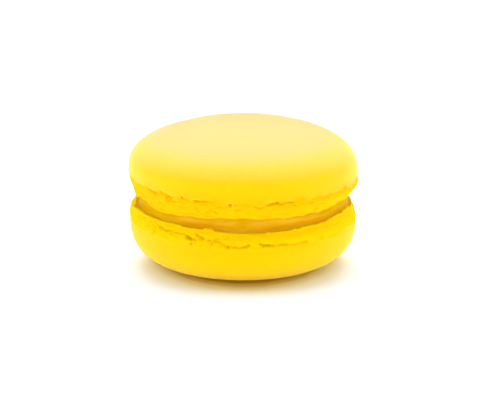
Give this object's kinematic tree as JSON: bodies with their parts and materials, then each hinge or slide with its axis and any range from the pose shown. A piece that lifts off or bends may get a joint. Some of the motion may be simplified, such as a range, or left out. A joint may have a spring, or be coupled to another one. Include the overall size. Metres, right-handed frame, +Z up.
{
  "type": "french macaron",
  "caption": "Round almond biscuit sandwich: smooth domed shells with ruffled feet, and a cream filling showing as a thin band between them.",
  "frame": {"origin": "centre of the macaron on the surface it rests on", "axes": "+Z up through both shells, -Y towards the side that the picture shows, +X to the right of that side"},
  "size_m": [0.0448, 0.0448, 0.0277],
  "materials": {
    "shell": "matt baked almond meringue, bright lemon yellow, paler on the dome",
    "filling": "soft caramel-coloured cream with a satin surface"
  },
  "bodies": {
    "root": {"upper_shell": "shell", "filling": "filling", "lower_shell": "shell"}
  },
  "joints": []
}
